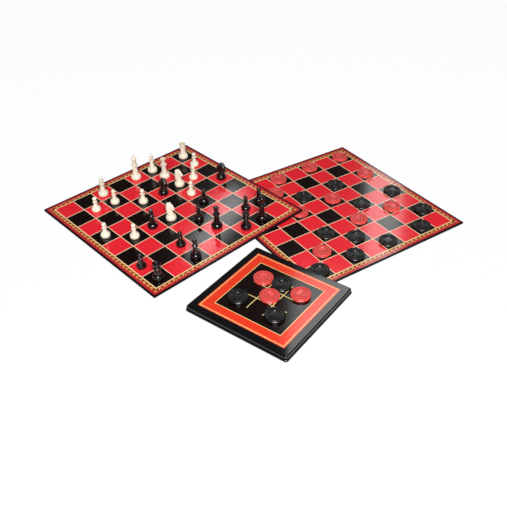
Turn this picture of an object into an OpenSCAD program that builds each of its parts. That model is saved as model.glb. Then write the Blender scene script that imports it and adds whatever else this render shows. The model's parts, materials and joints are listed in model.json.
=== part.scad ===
// Games compendium laid out for play: two four-fold boards, chessmen, draughts,
// and a slim square case whose lid carries a noughts and crosses board.
// Millimetres, +Z up, X to the right and Y away from the front.

/* [Boards] */
// Side of one playing square
square = 38.5; // [30:0.5:50]
// Printed margin round the playing squares
margin_w = 12.7; // [8:0.1:16]
// Black wrapping paper that shows as a rim round the print
rim_w = 2.3; // [1.5:0.1:4]
// Radius of the four outer corners
board_corner_r = 1.5; // [0.5:0.1:2]
// Thickness of the greyboard core
core_t = 2; // [1.5:0.1:3]
// Thickness of the black wrapping paper
wrap_t = 0.2; // [0.15:0.05:0.3]
// Thickness of the laminated print
print_t = 0.2; // [0.15:0.05:0.3]
// Thickness of the cloth tape under the print at the folds
tape_t = 0.25; // [0.15:0.05:0.4]
// Reach of the tape to each side of a fold
tape_w = 9; // [6:0.5:14]
// Width of the printed lines between the squares
line_w = 1.6; // [0.8:0.1:2]
// Gap between two cores at a taped fold
fold_gap = 1; // [0.6:0.1:2]
// Gap between the two flap panels where the board is slit
slit_gap = 0.4; // [0.2:0.1:0.6]

/* [Draughts] */
// Diameter of a draught
draught_d = 32; // [26:0.5:34]
// Thickness of a draught
draught_t = 5.8; // [4.5:0.1:7]
// Height of the rings on its face
ring_h = 0.8; // [0.4:0.1:1]
// Width of the rim and of each ring
ring_w = 1.5; // [1:0.1:2]
// Depth of the groove round its edge
waist_depth = 0.5; // [0.3:0.1:0.9]

/* [Chessmen] */
// Height of a pawn
pawn_h = 29; // [26:0.5:34]
// Height of a rook
rook_h = 32; // [28:0.5:37]
// Height of a knight
knight_h = 37; // [33:0.5:42]
// Height of a bishop
bishop_h = 41; // [37:0.5:46]
// Height of a queen
queen_h = 45; // [41:0.5:51]
// Height of a king with its cross
king_h = 52; // [48:0.5:59]
// Diameter of a pawn's foot
pawn_d = 17.5; // [16:0.5:20]
// Diameter of a rook's, knight's or bishop's foot
piece_d = 19.5; // [17:0.5:22]
// Diameter of a king's or queen's foot
royal_d = 20.5; // [18:0.5:23]
// Height of the rounded foot as a share of its radius
foot_share = 0.9; // [0.7:0.05:1.1]
// Locks of the knights' manes
mane_locks = 5; // [3:1:7]

/* [Case] */
// Side of the square case
case_w = 187; // [160:1:210]
// Radius of its corners seen from above
case_corner_r = 5; // [3:0.5:9]
// Height of the base tray
base_h = 4.6; // [4:0.1:7]
// Height of the lid
lid_h = 5.6; // [5:0.1:8]
// Thickness of the tray's floor
floor_t = 1.4; // [1:0.1:1.8]
// Width of the side walls
wall_w = 9.5; // [8:0.5:12]
// How far the lid is set back from the base on each side
lid_step = 1.4; // [0.8:0.1:2]
// Radius of the moulded edges
edge_r = 1.9; // [1:0.1:2.2]
// Thickness of the lid's plate under the inlay
lid_plate_t = 1.2; // [0.8:0.1:1.6]
// Depth of the lip that drops into the tray
lip_h = 1.5; // [1:0.1:2]
// Thickness of the lip
lip_w = 1.6; // [1.2:0.1:2.5]
// Clearance round the lip and the inlay
case_gap = 0.25; // [0.2:0.05:0.4]
// Side of the printed inlay
inlay_w = 157.8; // [140:0.2:165]
// Thickness of the printed inlay
inlay_t = 0.8; // [0.5:0.1:1]
// Width of the inlay's red band round its black field
band_w = 18.9; // [14:0.1:24]
// Side of one noughts and crosses cell
cell_w = 29.5; // [26:0.5:34]
// Width of the lines between the cells
hash_w = 1.3; // [0.8:0.1:2]
// Thickness of the felt that lines the tray
felt_t = 0.6; // [0.4:0.1:1]
// Height of the case's feet
foot_h = 2.8; // [2.7:0.1:4]
// Diameter of a foot
foot_d = 10; // [8:0.5:14]
// Distance of a foot's centre from the case's sides
foot_inset = 18.5; // [14:0.5:24]

/* [Layout] */
// Turn of the draughts board
draughts_yaw = -56; // [-60:1:-52]
// Turn of the chess board
chess_yaw = -46.5; // [-50:0.5:-42]
// Turn of the case
case_yaw = -36; // [-40:1:-32]
// How far the chess board's right corner reaches over the draughts board, in squares along its near edge
chess_reach_i = 3.6; // [3.45:0.01:3.75]
// The same reach in squares in from that edge
chess_reach_j = 2.6; // [2.5:0.01:2.75]
// Depth of the draughts board's near corner under the case, from the back edge
tuck_back = 29.5; // [24:0.5:33]
// The same depth from the case's right edge
tuck_side = 50.5; // [42:0.5:58]
// Turn of the ivory knights on the chess board
ivory_knight_turn = 25; // [0:5:355]
// Turn of the black knights
black_knight_turn = 230; // [0:5:355]
// Turn of the black bishops
black_bishop_turn = 180; // [0:5:355]
// Turn of the kings, so that their crosses face the front
king_turn = 50; // [0:5:85]
// Clearance where one thing lies on a tilted or curved one
rest_gap = 0.1; // [0.05:0.05:0.2]

/* [Hidden] */
$fn = 72;
board_t = wrap_t + core_t + print_t;
print_z = wrap_t + core_t;
grid_half = 4 * square;
print_half = grid_half + margin_w;
board_half = print_half + rim_w;
// the two halves of the print and of the tape part at the fold by this much on each side
crease = 0.05;
draught_r = draught_d / 2;
case_half = case_w / 2;
field_half = inlay_w / 2 - band_w;
// how far a cutting solid reaches past what it cuts
past = 1;
case_h = foot_h + base_h + lid_h;
parting_z = foot_h + base_h;
tray_half = case_half - wall_w;
tilt_stop = board_t + draught_t + rest_gap;
black_paper = [0.09, 0.07, 0.07];
greyboard = [0.62, 0.58, 0.52];
print_red = [0.9, 0.13, 0.18];
print_black = [0.07, 0.05, 0.05];
cloth = [0.16, 0.13, 0.13];
ivory = [0.94, 0.9, 0.8];
ebony = [0.1, 0.09, 0.09];
draught_red = [0.88, 0.28, 0.26];
draught_black = [0.13, 0.14, 0.14];
case_black = [0.06, 0.06, 0.06];
band_red = [0.9, 0.2, 0.13];
felt_green = [0.08, 0.22, 0.14];
line_gold = [0.98, 0.8, 0.56];

// Men stand at [i, j], counted in squares: i runs along the near left edge from the left
// corner to the near one, and j from that edge to the far right one.
ivory_pawns_at = [[1.45, 1.4], [1.55, 2.4], [1.6, 7.35], [2.5, 3.4], [2.55, 6.5], [3.5, 0.55],
    [3.6, 5.5], [4.5, 1.45]];
ivory_rook_at = [[0.55, 7.45]];
ivory_knights_at = [[2.55, 5.6], [4.55, 3.5]];
ivory_bishops_at = [[0.55, 2.4], [0.5, 5.45]];
ivory_queen_at = [[1.4, 5.55]];
ivory_king_at = [[0.45, 4.45]];
black_pawns_at = [[6.45, 0.4], [6.45, 2.55], [5.5, 4.4], [4.55, 5.5], [6.45, 6.5], [6.4, 7.4]];
black_rooks_at = [[7.55, 0.45], [7.55, 5.5]];
black_knights_at = [[2.6, 4.55], [3.55, 7.5]];
black_bishops_at = [[4.45, 2.5], [7.55, 2.5]];
black_queen_at = [[6.55, 4.6]];
black_king_at = [[7.55, 6.5]];
red_draughts_at = [[0.5, 7.45], [0.45, 5.45], [0.5, 3.4], [2.55, 7.45], [3.45, 4.55], [5.5, 4.45],
    [5.6, 6.45], [6.5, 1.45]];
// the chess board's corner and far right edge rest on these two
props_at = [[1.5, 2.5], [3.5, 2.5]];
black_draughts_at = [[2.55, 5.45], [2.55, 3.45], [5.55, 2.45], [4.6, 5.4], [4.55, 7.45], [6.6, 7.55],
    [7.55, 6.5], [6.5, 3.4], [7.55, 4.4], [7.5, 2.5]];
// this one lies against the case
case_side_at = [7.5, 0.5];
// Counters lie on the noughts and crosses board, in cells from its middle
red_counter_cells = [[-1.1, 0.95], [0, -0.05], [1.25, 1]];
black_counter_cells = [[-1.3, -1.05], [0, 1.1], [1.05, -1.1]];

function turn(p, a) = [p[0] * cos(a) - p[1] * sin(a), p[0] * sin(a) + p[1] * cos(a)];
function place(s) = [(s[0] - 4) * square, (s[1] - 4) * square];
// half the reach of a rounded square of half side h and corner radius r that is turned by a
function reach(h, r, a) = (h - r) * (abs(cos(a)) + abs(sin(a))) + r;

// The draughts board's centre is the datum from which the chess board and the case are placed.
chess_corner = turn([(chess_reach_i - 4) * square, (chess_reach_j - 4) * square], draughts_yaw);
chess_at = chess_corner - turn([board_half, board_half], chess_yaw);
near_corner = turn([board_half, -board_half], draughts_yaw);
case_at = near_corner - turn([case_half - tuck_side, case_half - tuck_back], case_yaw);
board_reach_d = reach(board_half, board_corner_r, draughts_yaw);
board_reach_c = reach(board_half, board_corner_r, chess_yaw);
case_reach = reach(case_half, case_corner_r, case_yaw);
min_x = min(-board_reach_d, chess_at[0] - board_reach_c, case_at[0] - case_reach);
max_x = max(board_reach_d, chess_at[0] + board_reach_c, case_at[0] + case_reach);
min_y = min(-board_reach_d, chess_at[1] - board_reach_c, case_at[1] - case_reach);
max_y = max(board_reach_d, chess_at[1] + board_reach_c, case_at[1] + case_reach);
middle = [(min_x + max_x) / 2, (min_y + max_y) / 2];

// A draught of the draughts board seen in the chess board's own frame
function in_chess(s) = turn(turn(place(s), draughts_yaw) - chess_at, -chess_yaw);
// Where the chess board first meets that draught, measured from its low edge
function prop_y(p) = board_half + p[1]
    - (p[0] > board_half ? sqrt(max(0, draught_r * draught_r - pow(p[0] - board_half, 2))) : draught_r);
prop_reach = min([for (s = props_at) prop_y(in_chess(s))]);
chess_tilt = atan(tilt_stop / prop_reach);

// The draught beside the case is pushed off its square's centre as far as the case asks
case_side_draught = in_case(case_side_at);
function in_case(s) = turn(turn(place(s), draughts_yaw) - case_at, -case_yaw);
case_push = max(0, case_half + draught_r + 3 * rest_gap - case_side_draught[1]);
case_side_place = place(case_side_at) + turn([0, case_push], case_yaw - draughts_yaw);

// Places: each puts its children, drawn about a board's or the case's centre, on the table.
module on_draughts_board() {
    translate([-middle[0], -middle[1], 0]) rotate([0, 0, draughts_yaw]) children();
}

module on_chess_board() {
    translate([chess_at[0] - middle[0], chess_at[1] - middle[1], 0]) rotate([0, 0, chess_yaw])
        translate([0, -board_half, 0]) rotate([chess_tilt, 0, 0]) translate([0, board_half, 0]) children();
}

module on_case() {
    translate([case_at[0] - middle[0], case_at[1] - middle[1], 0]) rotate([0, 0, case_yaw]) children();
}

module on_squares(places, turned = 0) {
    for (s = places)
        translate([place(s)[0], place(s)[1], board_t]) rotate([0, 0, turned]) children();
}

// Boards: four quarters, each drawn for +x +y and mirrored into its place.
// The fold that is modelled runs along y = 0; the flap is the half with y above 0 and is
// slit along x = 0, where the fixed half has its second taped fold.
module quarter(qx, qy) {
    mirror([qx < 0 ? 1 : 0, 0, 0]) mirror([0, qy < 0 ? 1 : 0, 0]) children();
}

// Outline of a quarter, drawn in from the outer edges by inset, starting at x0 and y0
module quarter_outline(inset, x0, y0) {
    far = board_half - inset;
    r = max(board_corner_r - inset, 0);
    translate([x0, y0]) square([far - r - x0, far - y0]);
    translate([x0, y0]) square([far - x0, far - r - y0]);
    if (r > 0)
        translate([far - r, far - r]) circle(r);
}

function side_gap(qy) = qy < 0 ? fold_gap / 2 : slit_gap / 2;

// The space that the tape takes in one quarter
module tape_space(qy) {
    length = board_half - wrap_t;
    x0 = qy < 0 ? 0 : slit_gap / 2;
    translate([x0, crease, print_z - tape_t]) cube([length - x0, tape_w - crease, tape_t]);
    if (qy < 0)
        translate([0, tape_w, print_z - tape_t]) cube([tape_w, length - tape_w, tape_t]);
}

module board_core(qx, qy) {
    color(greyboard) quarter(qx, qy) difference() {
        translate([0, 0, wrap_t]) linear_extrude(core_t)
            quarter_outline(wrap_t, side_gap(qy) + wrap_t, fold_gap / 2 + wrap_t);
        tape_space(qy);
    }
}

module board_wrap(qx, qy) {
    color(black_paper) quarter(qx, qy) difference() {
        linear_extrude(board_t) quarter_outline(0, side_gap(qy), fold_gap / 2);
        translate([0, 0, wrap_t]) linear_extrude(core_t)
            quarter_outline(wrap_t, side_gap(qy) + wrap_t, fold_gap / 2 + wrap_t);
        translate([0, 0, print_z]) cube([print_half, print_half, board_t]);
        tape_space(qy);
    }
}

// The red printed sheet, with a window for each black square
module board_print(qx, qy) {
    x0 = qy < 0 ? 0 : slit_gap / 2;
    color(print_red) quarter(qx, qy) difference() {
        translate([x0, crease, print_z]) cube([print_half - x0, print_half - crease, print_t]);
        black_squares(qx, qy, print_z - past, board_t + past);
    }
}

// The black squares of one quarter, with a printed line left between neighbours
module black_squares(qx, qy, z0, z1) {
    first = qx * qy > 0 ? 1 : 0;
    side = square - line_w;
    for (a = [0:3], b = [0:3])
        if ((a + b) % 2 == first)
            translate([a * square + line_w / 2, b * square + line_w / 2, z0]) cube([side, side, z1 - z0]);
}

module board_squares(qy) {
    color(print_black) for (qx = [-1, 1]) quarter(qx, qy) black_squares(qx, qy, print_z, board_t);
}

module tape_half(qy) {
    color(cloth) for (qx = [-1, 1]) quarter(qx, qy) tape_space(qy);
}

// Draughts
module ring(r, z, h) {
    rotate_extrude() translate([r, z])
        polygon([[-ring_w / 2, 0], [-ring_w / 4, h], [ring_w / 4, h], [ring_w / 2, 0]]);
}

module draught() {
    body_t = draught_t - 2 * ring_h;
    chamfer = ring_w / 3;
    rim_r = draught_r - chamfer - ring_w / 2;
    translate([0, 0, ring_h]) rotate_extrude() polygon([
        [0, 0], [draught_r - chamfer, 0], [draught_r, chamfer], [draught_r, body_t / 2 - waist_depth],
        [draught_r - waist_depth, body_t / 2], [draught_r, body_t / 2 + waist_depth],
        [draught_r, body_t - chamfer], [draught_r - chamfer, body_t], [0, body_t]]);
    ring(rim_r, draught_t - ring_h, ring_h);
    ring(rim_r - 2 * ring_w, draught_t - ring_h, ring_h * 0.8);
    ring(rim_r - 4.5 * ring_w, draught_t - ring_h, ring_h * 0.7);
    translate([0, 0, ring_h]) mirror([0, 0, 1]) ring(rim_r, 0, ring_h);
}

// Chessmen: turned profiles built up from simple curves, from the board up. Apart from a
// man's height, every size in it is a share of r, the radius of its foot.
function bulge(r, z0, z1, n = 6) =
    [for (k = [0:n]) [r - (z1 - z0) / 2 * (1 - cos(180 * k / n - 90)),
        (z0 + z1) / 2 + (z1 - z0) / 2 * sin(180 * k / n - 90)]];
function dome(r, z0, z1, n = 8) = [for (k = [0:n]) [r * cos(90 * k / n), z0 + (z1 - z0) * sin(90 * k / n)]];

// A flattened ball from the board up to the waist, where the stem stands on it
function foot(r, waist) = concat(
    [[0, 0]],
    [for (k = [0:3]) [r * (0.93 + 0.07 * sin(30 * k)), 0.1 * r * k]],
    [for (k = [1:8]) [waist + (r - waist) * cos(11.25 * k), 0.3 * r + (foot_share - 0.3) * r * sin(11.25 * k)]]);

// The foot, a stem that narrows to its neck and the double collar that crowns it at height z
function stand_profile(r, waist, neck, z) = concat(
    foot(r, waist),
    [[0.92 * waist, foot_share * r + 0.04 * r], [0.45 * (waist + neck), (foot_share * r + z) / 2], [neck, z]],
    bulge(neck + 0.22 * r, z, z + 0.14 * r), bulge(neck + 0.11 * r, z + 0.14 * r, z + 0.23 * r));

module pawn(tone) {
    r = pawn_d / 2;
    head_r = 0.46 * r;
    head_z = pawn_h - head_r;
    neck = 0.3 * r;
    color(tone) {
        rotate_extrude() polygon(concat(stand_profile(r, 0.64 * r, neck, head_z - head_r - 0.36 * r), [
            [neck, head_z - 0.8 * head_r], [0, head_z - 0.8 * head_r]]));
        translate([0, 0, head_z]) sphere(head_r);
    }
}

module rook(tone) {
    r = piece_d / 2;
    tower_r = 0.66 * r;
    collar_z = rook_h - 1.1 * r;
    parapet = 0.22 * r;
    merlons = 6;
    color(tone) difference() {
        rotate_extrude() polygon(concat(stand_profile(r, 0.66 * r, 0.46 * r, collar_z), [
            [0.44 * r, collar_z + 0.3 * r], [0.92 * tower_r, rook_h - 2.4 * parapet],
            [tower_r, rook_h - 2 * parapet], [tower_r, rook_h], [0, rook_h]]));
        translate([0, 0, rook_h - 1.4 * parapet]) cylinder(r = 0.7 * tower_r, h = 2 * parapet);
        for (k = [0:merlons / 2 - 1])
            rotate([0, 0, k * 360 / merlons]) translate([-r, -0.08 * r, rook_h - parapet])
                cube([2 * r, 0.16 * r, 2 * parapet]);
    }
}

module bishop(tone) {
    r = piece_d / 2;
    ball_r = 0.15 * r;
    mitre_h = 1.15 * r;
    mitre_r = 0.46 * r;
    mitre_z = bishop_h - 1.6 * ball_r - mitre_h;
    collar_z = mitre_z - 0.45 * r;
    steps = 10;
    color(tone) {
        difference() {
            rotate_extrude() polygon(concat(stand_profile(r, 0.6 * r, 0.33 * r, collar_z), [[0.31 * r, mitre_z - 0.13 * r]],
                bulge(0.37 * r, mitre_z - 0.13 * r, mitre_z),
                [for (k = [0:steps]) [mitre_r * sin(42 + 12.6 * k), mitre_z + mitre_h * k / steps]],
                [[0, mitre_z + mitre_h]]));
            translate([0.14 * r, -r, mitre_z + 0.45 * mitre_h]) rotate([0, 28, 0])
                cube([0.1 * r, 2 * r, mitre_h]);
        }
        translate([0, 0, bishop_h - ball_r]) sphere(ball_r);
    }
}

module queen(tone) {
    r = royal_d / 2;
    ball_r = 0.16 * r;
    crown_r = 0.54 * r;
    crown_z = queen_h - 0.36 * r;
    collar_z = queen_h - 1.7 * r;
    points = 8;
    color(tone) {
        difference() {
            rotate_extrude() polygon(concat(stand_profile(r, 0.6 * r, 0.4 * r, collar_z), [[0.29 * r, collar_z + 0.35 * r]],
                bulge(0.38 * r, collar_z + 0.35 * r, collar_z + 0.46 * r), [
                [0.3 * r, collar_z + 0.5 * r], [0.4 * r, crown_z - 0.4 * r], [crown_r, crown_z],
                [0.84 * crown_r, crown_z + 0.04 * r], [0.6 * crown_r, crown_z - 0.06 * r], [0, crown_z - 0.06 * r]]));
            for (k = [0:points - 1])
                rotate([0, 0, (k + 0.5) * 360 / points]) translate([0.66 * crown_r, 0, crown_z + 0.06 * r])
                    rotate([0, 90, 0]) cylinder(r = 0.12 * r, h = crown_r);
        }
        translate([0, 0, crown_z - 0.12 * r]) rotate_extrude() polygon(concat([[0, 0]], dome(0.5 * crown_r, 0, 0.28 * r)));
        translate([0, 0, queen_h - ball_r]) sphere(ball_r);
    }
}

module king(tone) {
    r = royal_d / 2;
    cross_h = 0.6 * r;
    bar = 0.17 * r;
    crown_r = 0.54 * r;
    crown_z = king_h - 0.8 * cross_h;
    collar_z = king_h - 2.2 * r;
    color(tone) {
        rotate_extrude() polygon(concat(stand_profile(r, 0.62 * r, 0.42 * r, collar_z), [[0.31 * r, collar_z + 0.35 * r]],
            bulge(0.4 * r, collar_z + 0.35 * r, collar_z + 0.48 * r), [
            [0.33 * r, collar_z + 0.52 * r], [0.92 * crown_r, crown_z - 0.42 * r], [crown_r, crown_z - 0.34 * r]],
            dome(0.9 * crown_r, crown_z - 0.32 * r, crown_z)));
        translate([-bar / 2, -bar / 2, king_h - cross_h]) cube([bar, bar, cross_h]);
        translate([-0.22 * r, -bar / 2, king_h - 0.45 * cross_h]) cube([0.44 * r, bar, bar]);
    }
}

// A horse's head cut from a side outline and a front outline, on the foot of the other men.
// Both outlines run from the foot up: widths are shares of r, and heights shares of head_h.
module knight(tone) {
    r = piece_d / 2;
    foot_top = (foot_share - 0.05) * r;
    head_h = knight_h - foot_top;
    side_view = [[-0.6, 0], [-0.64, 0.2], [-0.67, 0.45], [-0.6, 0.7], [-0.4, 0.9], [-0.14, 0.98], [0, 1],
        [0.16, 0.97], [0.4, 0.86], [0.66, 0.68], [0.86, 0.5], [0.85, 0.4], [0.68, 0.35], [0.42, 0.42],
        [0.28, 0.4], [0.22, 0.32], [0.36, 0.18], [0.5, 0]];
    front_view = [[-0.46, 0], [-0.38, 0.35], [-0.36, 0.6], [-0.33, 0.8], [-0.18, 1],
        [0.18, 1], [0.33, 0.8], [0.36, 0.6], [0.38, 0.35], [0.46, 0]];
    function sized(outline) = [for (p = outline) [p[0] * r, p[1] * head_h]];
    color(tone) {
        rotate_extrude() polygon(concat(foot(r, 0.68 * r), [[0, foot_share * r]]));
        difference() {
            translate([0, 0, foot_top]) intersection() {
                translate([0, r / 2, 0]) rotate([90, 0, 0]) linear_extrude(r) polygon(sized(side_view));
                translate([-r, 0, 0]) rotate([90, 0, 90]) linear_extrude(2 * r) polygon(sized(front_view));
            }
            // the mouth and the hollows under the cheeks
            translate([0.6 * r, -r / 2, foot_top + 0.45 * head_h]) rotate([0, 14, 0]) cube([r, r, 0.05 * r]);
            for (side = [-1, 1])
                translate([-0.2 * r, side * 0.5 * r, foot_top + 0.34 * head_h]) sphere(0.24 * r);
        }
        // locks of the mane down the back of the neck
        for (k = [0:mane_locks - 1])
            let (z = 0.18 + 0.65 * k / (mane_locks - 1))
                translate([(-0.66 + 0.9 * pow(max(0, z - 0.4), 2)) * r, 0.11 * r, foot_top + z * head_h])
                    rotate([90, 0, 0]) cylinder(r = 0.17 * r, h = 0.22 * r);
    }
}

// Case: side profile of a tier with rounded edges, from its corner's centre outwards
function tier_profile(h, inset = 0) = concat(
    [[0, 0]],
    [for (k = [0:5]) [case_corner_r - inset - edge_r * (1 - sin(18 * k)), edge_r * (1 - cos(18 * k))]],
    [for (k = [0:5]) [case_corner_r - inset - edge_r * (1 - cos(18 * k)), h - edge_r * (1 - sin(18 * k))]],
    [[0, h]]);

// A square slab with that profile on its four sides and turned round its corners
module moulded_slab(h, inset = 0) {
    flat_half = case_half - case_corner_r;
    translate([-flat_half, -flat_half, 0]) cube([2 * flat_half, 2 * flat_half, h]);
    for (side = [0:3]) rotate([0, 0, 90 * side]) {
        translate([flat_half, flat_half, 0]) rotate([90, 0, 0]) linear_extrude(2 * flat_half)
            polygon(tier_profile(h, inset));
        translate([flat_half, flat_half, 0]) rotate_extrude(angle = 90) polygon(tier_profile(h, inset));
    }
}

module square_block(half, z0, z1) {
    translate([-half, -half, z0]) cube([2 * half, 2 * half, z1 - z0]);
}

// The four crossing lines, each running a little way past the outer cells' centres
module hash_lines(z0, z1) {
    length = 2.8 * cell_w;
    for (side = [-1, 1], turned = [0, 90])
        rotate([0, 0, turned]) translate([side * cell_w / 2 - hash_w / 2, -length / 2, z0])
            cube([hash_w, length, z1 - z0]);
}

module on_cells(cells) {
    for (c = cells)
        translate([c[0] * cell_w, c[1] * cell_w, case_h]) children();
}

// Nodes
module draughts_core_left() { on_draughts_board() board_core(-1, -1); }
module draughts_core_near() { on_draughts_board() board_core(1, -1); }
module draughts_core_far() { on_draughts_board() board_core(-1, 1); }
module draughts_core_right() { on_draughts_board() board_core(1, 1); }
module draughts_wrap_left() { on_draughts_board() board_wrap(-1, -1); }
module draughts_wrap_near() { on_draughts_board() board_wrap(1, -1); }
module draughts_wrap_far() { on_draughts_board() board_wrap(-1, 1); }
module draughts_wrap_right() { on_draughts_board() board_wrap(1, 1); }
module draughts_print_left() { on_draughts_board() board_print(-1, -1); }
module draughts_print_near() { on_draughts_board() board_print(1, -1); }
module draughts_print_far() { on_draughts_board() board_print(-1, 1); }
module draughts_print_right() { on_draughts_board() board_print(1, 1); }
module draughts_squares_fixed() { on_draughts_board() board_squares(-1); }
module draughts_squares_flap() { on_draughts_board() board_squares(1); }
module draughts_tape_fixed() { on_draughts_board() tape_half(-1); }
module draughts_tape_flap() { on_draughts_board() tape_half(1); }
module chess_core_left() { on_chess_board() board_core(-1, -1); }
module chess_core_near() { on_chess_board() board_core(1, -1); }
module chess_core_far() { on_chess_board() board_core(-1, 1); }
module chess_core_right() { on_chess_board() board_core(1, 1); }
module chess_wrap_left() { on_chess_board() board_wrap(-1, -1); }
module chess_wrap_near() { on_chess_board() board_wrap(1, -1); }
module chess_wrap_far() { on_chess_board() board_wrap(-1, 1); }
module chess_wrap_right() { on_chess_board() board_wrap(1, 1); }
module chess_print_left() { on_chess_board() board_print(-1, -1); }
module chess_print_near() { on_chess_board() board_print(1, -1); }
module chess_print_far() { on_chess_board() board_print(-1, 1); }
module chess_print_right() { on_chess_board() board_print(1, 1); }
module chess_squares_fixed() { on_chess_board() board_squares(-1); }
module chess_squares_flap() { on_chess_board() board_squares(1); }
module chess_tape_fixed() { on_chess_board() tape_half(-1); }
module chess_tape_flap() { on_chess_board() tape_half(1); }
module ivory_pawns() { on_chess_board() on_squares(ivory_pawns_at) pawn(ivory); }
module ivory_rook() { on_chess_board() on_squares(ivory_rook_at) rook(ivory); }
module ivory_knights() { on_chess_board() on_squares(ivory_knights_at, ivory_knight_turn) knight(ivory); }
module ivory_bishops() { on_chess_board() on_squares(ivory_bishops_at) bishop(ivory); }
module ivory_queen() { on_chess_board() on_squares(ivory_queen_at) queen(ivory); }
module ivory_king() { on_chess_board() on_squares(ivory_king_at, king_turn) king(ivory); }
module black_pawns() { on_chess_board() on_squares(black_pawns_at) pawn(ebony); }
module black_rooks() { on_chess_board() on_squares(black_rooks_at) rook(ebony); }
module black_knights() { on_chess_board() on_squares(black_knights_at, black_knight_turn) knight(ebony); }
module black_bishops() { on_chess_board() on_squares(black_bishops_at, black_bishop_turn) bishop(ebony); }
module black_queen() { on_chess_board() on_squares(black_queen_at) queen(ebony); }
module black_king() { on_chess_board() on_squares(black_king_at, king_turn) king(ebony); }

module red_draughts() {
    color(draught_red) on_draughts_board() {
        on_squares(red_draughts_at) draught();
        on_squares(props_at) draught();
    }
}

module black_draughts() {
    color(draught_black) on_draughts_board() {
        on_squares(black_draughts_at) draught();
        translate([case_side_place[0], case_side_place[1], board_t]) draught();
    }
}

module red_counters() { color(draught_red) on_case() on_cells(red_counter_cells) draught(); }
module black_counters() { color(draught_black) on_case() on_cells(black_counter_cells) draught(); }

module case_base() {
    color(case_black) on_case() difference() {
        translate([0, 0, foot_h]) moulded_slab(base_h);
        square_block(tray_half, foot_h + floor_t, parting_z + past);
    }
}

module case_lid() {
    lip_half = tray_half - case_gap;
    hollow_top = case_h - inlay_t - lid_plate_t;
    color(case_black) on_case() {
        difference() {
            translate([0, 0, parting_z]) moulded_slab(lid_h, lid_step);
            square_block(inlay_w / 2 + case_gap, case_h - inlay_t, case_h + past);
            square_block(lip_half - lip_w, parting_z - past, hollow_top);
        }
        difference() {
            square_block(lip_half, parting_z - lip_h, parting_z);
            square_block(lip_half - lip_w, parting_z - lip_h - past, parting_z + past);
        }
    }
}

module case_inlay() {
    color(band_red) on_case() difference() {
        square_block(inlay_w / 2, case_h - inlay_t, case_h);
        square_block(field_half, case_h - inlay_t - past, case_h + past);
    }
}

module case_field() {
    color(print_black) on_case() difference() {
        square_block(field_half, case_h - inlay_t, case_h);
        hash_lines(case_h - print_t, case_h + past);
    }
}

module case_lines() { color(line_gold) on_case() hash_lines(case_h - print_t, case_h); }

module case_felt() {
    color(felt_green) on_case() square_block(tray_half - case_gap, foot_h + floor_t, foot_h + floor_t + felt_t);
}

module case_feet() {
    at = case_half - foot_inset;
    color(cloth) on_case() for (x = [-at, at], y = [-at, at])
        translate([x, y, 0]) cylinder(d = foot_d, h = foot_h);
}

draughts_core_left();
draughts_core_near();
draughts_core_far();
draughts_core_right();
draughts_wrap_left();
draughts_wrap_near();
draughts_wrap_far();
draughts_wrap_right();
draughts_print_left();
draughts_print_near();
draughts_print_far();
draughts_print_right();
draughts_squares_fixed();
draughts_squares_flap();
draughts_tape_fixed();
draughts_tape_flap();
chess_core_left();
chess_core_near();
chess_core_far();
chess_core_right();
chess_wrap_left();
chess_wrap_near();
chess_wrap_far();
chess_wrap_right();
chess_print_left();
chess_print_near();
chess_print_far();
chess_print_right();
chess_squares_fixed();
chess_squares_flap();
chess_tape_fixed();
chess_tape_flap();
ivory_pawns();
ivory_rook();
ivory_knights();
ivory_bishops();
ivory_queen();
ivory_king();
black_pawns();
black_rooks();
black_knights();
black_bishops();
black_queen();
black_king();
red_draughts();
black_draughts();
red_counters();
black_counters();
case_base();
case_lid();
case_inlay();
case_field();
case_lines();
case_felt();
case_feet();
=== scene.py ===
"""Looks of a games compendium laid out for play: two folding boards, chessmen, draughts and a slim case.

Lengths are in millimetres until a mesh is made, and metres after that. The floor and lamps are in metres.
"""

import json
import math

import bmesh
import bpy
from mathutils import Matrix, Vector


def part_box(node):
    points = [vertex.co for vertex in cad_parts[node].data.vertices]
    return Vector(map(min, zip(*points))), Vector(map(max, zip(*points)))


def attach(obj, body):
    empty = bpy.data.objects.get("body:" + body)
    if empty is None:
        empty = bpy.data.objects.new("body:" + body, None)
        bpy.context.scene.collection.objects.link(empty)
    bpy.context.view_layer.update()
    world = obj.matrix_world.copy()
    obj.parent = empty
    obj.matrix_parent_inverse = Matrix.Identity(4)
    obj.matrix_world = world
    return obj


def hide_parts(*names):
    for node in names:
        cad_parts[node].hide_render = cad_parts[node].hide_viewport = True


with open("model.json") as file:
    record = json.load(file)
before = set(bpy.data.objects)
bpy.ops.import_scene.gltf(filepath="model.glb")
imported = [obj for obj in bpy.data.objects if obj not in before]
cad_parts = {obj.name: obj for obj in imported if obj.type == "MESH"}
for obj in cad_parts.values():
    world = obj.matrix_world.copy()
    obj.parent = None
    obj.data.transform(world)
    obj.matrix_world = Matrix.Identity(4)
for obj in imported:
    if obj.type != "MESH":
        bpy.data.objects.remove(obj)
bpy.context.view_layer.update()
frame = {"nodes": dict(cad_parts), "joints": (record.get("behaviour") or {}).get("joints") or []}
MM = 0.001

# Room for rounding
TINY = 1e-6

# Sizes shared with the CAD source
SQUARE = 38.5
SQUARES_HALF = 4
GRID_HALF = SQUARES_HALF * SQUARE
MARGIN = 12.7
PRINT_HALF = GRID_HALF + MARGIN
BOARD_T = 2.4
PRINT_T = 0.2
CREASE = 0.05
SLIT_HALF = 0.2
LINE_W = 1.6
DRAUGHT_R = 16
DRAUGHT_T = 5.8
KNIGHT_FOOT_R = 9.75
FOOT_SHARE = 0.9
IVORY_KNIGHT_TURN = math.radians(25)
BLACK_KNIGHT_TURN = math.radians(230)
CASE_TOP = 13.0
INLAY_HALF = 78.9
INLAY_T = 0.8
FIELD_HALF = 60
CELL = 29.5
HASH_W = 1.3
CASE_YAW = math.radians(-36)


# Places

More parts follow.
